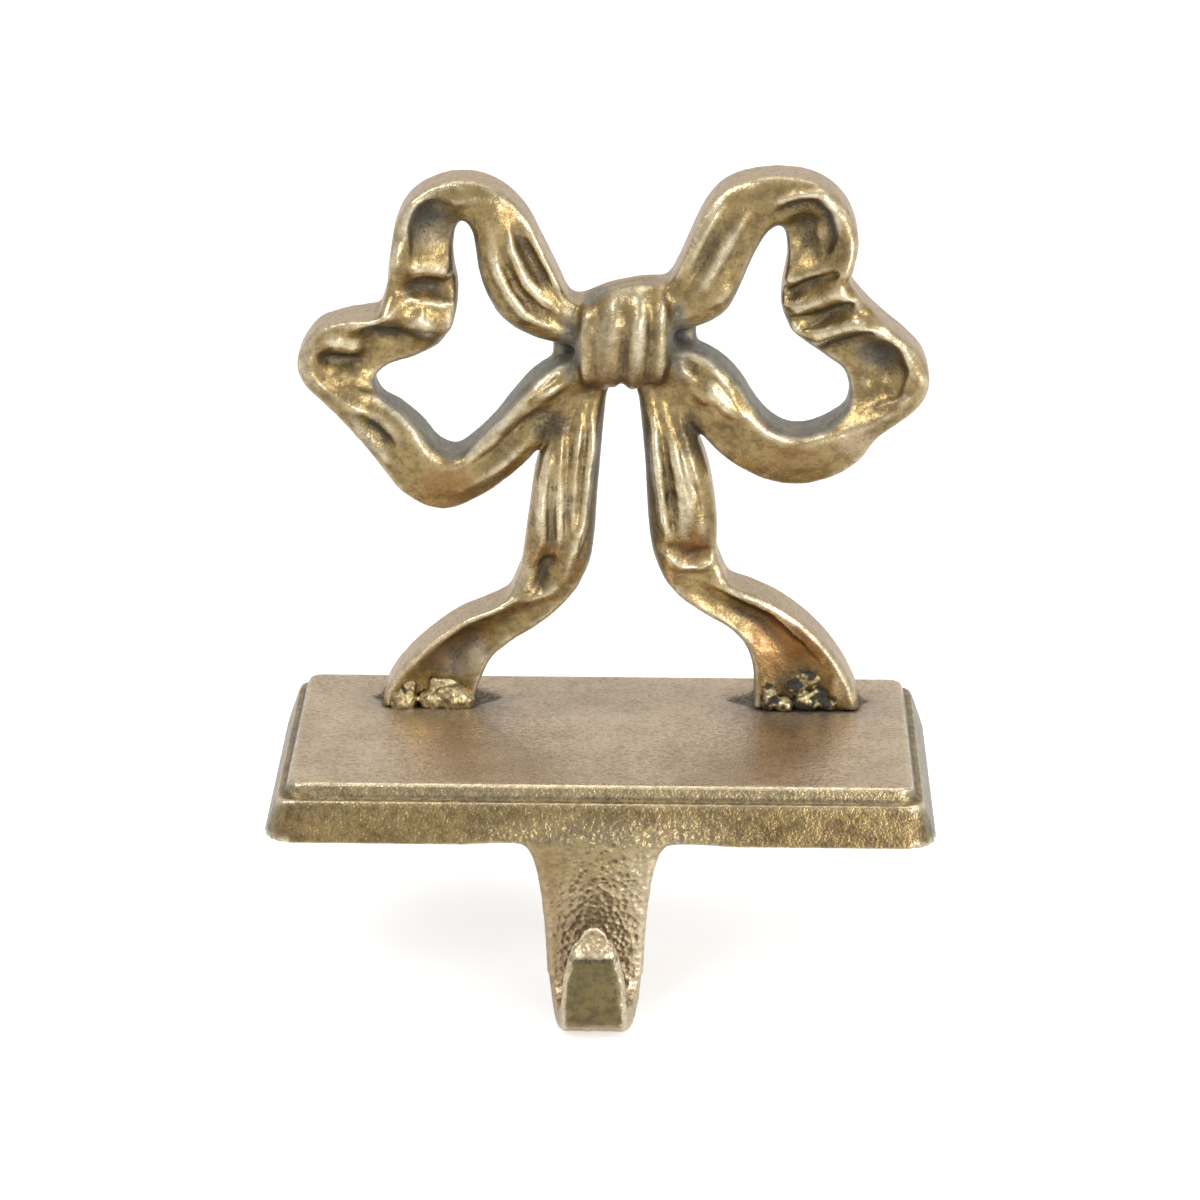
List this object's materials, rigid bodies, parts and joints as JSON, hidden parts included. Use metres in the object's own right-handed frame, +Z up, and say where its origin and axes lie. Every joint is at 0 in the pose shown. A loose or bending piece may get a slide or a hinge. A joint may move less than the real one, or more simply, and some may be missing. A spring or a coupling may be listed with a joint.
{
  "type": "mantel stocking holder",
  "caption": "Cast brass ribbon bow standing on a stepped rectangular shelf plate, with a strap and upturned hook hanging from its front edge to hold a stocking.",
  "frame": {"origin": "centre of the plate's flat underside, which rests on the mantel", "axes": "+Z up out of the plate, -Y out of the front edge that carries the hook, +X to the right seen from the front"},
  "size_m": [0.127, 0.07, 0.1555],
  "materials": {
    "cast_brass": "antique: dark patina in the hollows, rubbed bright on the ridges",
    "braze": "rough filler, partly darkened"
  },
  "bodies": {
    "root": {"base_with_hook": "cast_brass", "bow": "cast_brass", "left_braze": "braze", "right_braze": "braze"}
  },
  "joints": []
}
